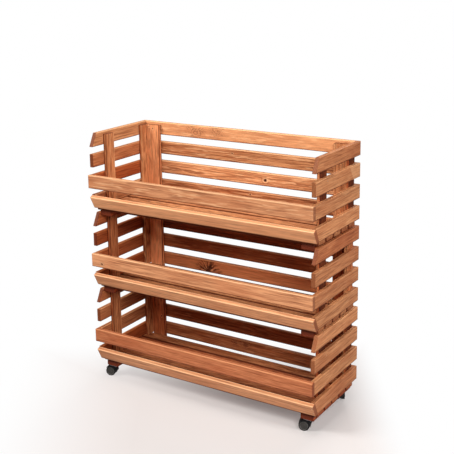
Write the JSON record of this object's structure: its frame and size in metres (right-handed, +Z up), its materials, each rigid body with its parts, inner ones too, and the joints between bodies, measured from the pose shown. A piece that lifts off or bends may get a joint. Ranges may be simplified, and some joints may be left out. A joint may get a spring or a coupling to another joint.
{
  "type": "vegetable rack",
  "caption": "Stacked slatted wooden crates, open at the front above slanted rails, with the lowest crate on swivelling twin-wheel castors, for storing vegetables.",
  "frame": {"origin": "on the floor under the middle of the rack's outline", "axes": "+Z up; X runs along the rack, seen from the front +X is to the right; the open front faces -Y"},
  "size_m": [0.93, 0.356, 0.9635],
  "materials": {
    "slat_wood": "brushed softwood, red-brown stain, satin",
    "rail_wood": "brushed softwood, red-brown stain, satin, the most lit faces",
    "frame_wood": "sawn softwood, red-brown stain, matt",
    "castor_steel": "zinc-plated steel",
    "castor_hood": "black moulded plastic",
    "castor_wheel": "dark grey moulded plastic with a lighter disc"
  },
  "bodies": {
    "rack": {"bottom_crate_frame": "frame_wood", "bottom_back_slat_1": "slat_wood", "bottom_back_slat_2": "slat_wood", "bottom_back_slat_3": "slat_wood", "bottom_back_slat_4": "slat_wood", "bottom_left_slat_1": "slat_wood", "bottom_left_slat_2": "slat_wood", "bottom_left_slat_3": "slat_wood", "bottom_left_slat_4": "slat_wood", "bottom_right_slat_1": "slat_wood", "bottom_right_slat_2": "slat_wood", "bottom_right_slat_3": "slat_wood", "bottom_right_slat_4": "slat_wood", "bottom_front_rail_upper": "rail_wood", "bottom_front_rail_lower": "rail_wood", "front_left_castor_plate": "castor_steel", "front_right_castor_plate": "castor_steel", "rear_left_castor_plate": "castor_steel", "rear_right_castor_plate": "castor_steel"},
    "middle_crate": {"middle_crate_frame": "frame_wood", "middle_back_slat_1": "slat_wood", "middle_back_slat_2": "slat_wood", "middle_back_slat_3": "slat_wood", "middle_back_slat_4": "slat_wood", "middle_left_slat_1": "slat_wood", "middle_left_slat_2": "slat_wood", "middle_left_slat_3": "slat_wood", "middle_left_slat_4": "slat_wood", "middle_right_slat_1": "slat_wood", "middle_right_slat_2": "slat_wood", "middle_right_slat_3": "slat_wood", "middle_right_slat_4": "slat_wood", "middle_front_rail_upper": "rail_wood", "middle_front_rail_lower": "rail_wood"},
    "top_crate": {"top_crate_frame": "frame_wood", "top_back_slat_1": "slat_wood", "top_back_slat_2": "slat_wood", "top_back_slat_3": "slat_wood", "top_back_slat_4": "slat_wood", "top_left_slat_1": "slat_wood", "top_left_slat_2": "slat_wood", "top_left_slat_3": "slat_wood", "top_left_slat_4": "slat_wood", "top_right_slat_1": "slat_wood", "top_right_slat_2": "slat_wood", "top_right_slat_3": "slat_wood", "top_right_slat_4": "slat_wood", "top_front_rail_upper": "rail_wood", "top_front_rail_lower": "rail_wood"},
    "front_left_swivel": {"front_left_castor_housing": "castor_hood"},
    "front_left_wheel_pair": {"front_left_castor_wheels": "castor_wheel"},
    "front_right_swivel": {"front_right_castor_housing": "castor_hood"},
    "front_right_wheel_pair": {"front_right_castor_wheels": "castor_wheel"},
    "rear_left_swivel": {"rear_left_castor_housing": "castor_hood"},
    "rear_left_wheel_pair": {"rear_left_castor_wheels": "castor_wheel"},
    "rear_right_swivel": {"rear_right_castor_housing": "castor_hood"},
    "rear_right_wheel_pair": {"rear_right_castor_wheels": "castor_wheel"}
  },
  "joints": [
    {"name": "middle_crate_lift", "type": "slide", "parent": "rack", "child": "middle_crate", "axis": [0, 0, 1], "range_m": [0, 0.15]},
    {"name": "top_crate_lift", "type": "slide", "parent": "middle_crate", "child": "top_crate", "axis": [0, 0, 1], "range_m": [0, 0.15]},
    {"name": "front_left_castor_swivel", "type": "hinge", "parent": "rack", "child": "front_left_swivel", "pos_m": [-0.4235, -0.11333, 0.04], "axis": [0, 0, 1], "continuous": true},
    {"name": "front_left_wheel_spin", "type": "hinge", "parent": "front_left_swivel", "child": "front_left_wheel_pair", "pos_m": [-0.44071, -0.11859, 0.019], "axis": [-0.2924, 0.9563, 0], "continuous": true},
    {"name": "front_right_castor_swivel", "type": "hinge", "parent": "rack", "child": "front_right_swivel", "pos_m": [0.4235, -0.11333, 0.04], "axis": [0, 0, 1], "continuous": true},
    {"name": "front_right_wheel_spin", "type": "hinge", "parent": "front_right_swivel", "child": "front_right_wheel_pair", "pos_m": [0.40629, -0.11859, 0.019], "axis": [-0.2924, 0.9563, 0], "continuous": true},
    {"name": "rear_left_castor_swivel", "type": "hinge", "parent": "rack", "child": "rear_left_swivel", "pos_m": [-0.4235, 0.131, 0.04], "axis": [0, 0, 1], "continuous": true},
    {"name": "rear_left_wheel_spin", "type": "hinge", "parent": "rear_left_swivel", "child": "rear_left_wheel_pair", "pos_m": [-0.4325, 0.14659, 0.019], "axis": [0.866, 0.5, 0], "continuous": true},
    {"name": "rear_right_castor_swivel", "type": "hinge", "parent": "rack", "child": "rear_right_swivel", "pos_m": [0.4235, 0.131, 0.04], "axis": [0, 0, 1], "continuous": true},
    {"name": "rear_right_wheel_spin", "type": "hinge", "parent": "rear_right_swivel", "child": "rear_right_wheel_pair", "pos_m": [0.4145, 0.14659, 0.019], "axis": [0.866, 0.5, 0], "continuous": true}
  ]
}
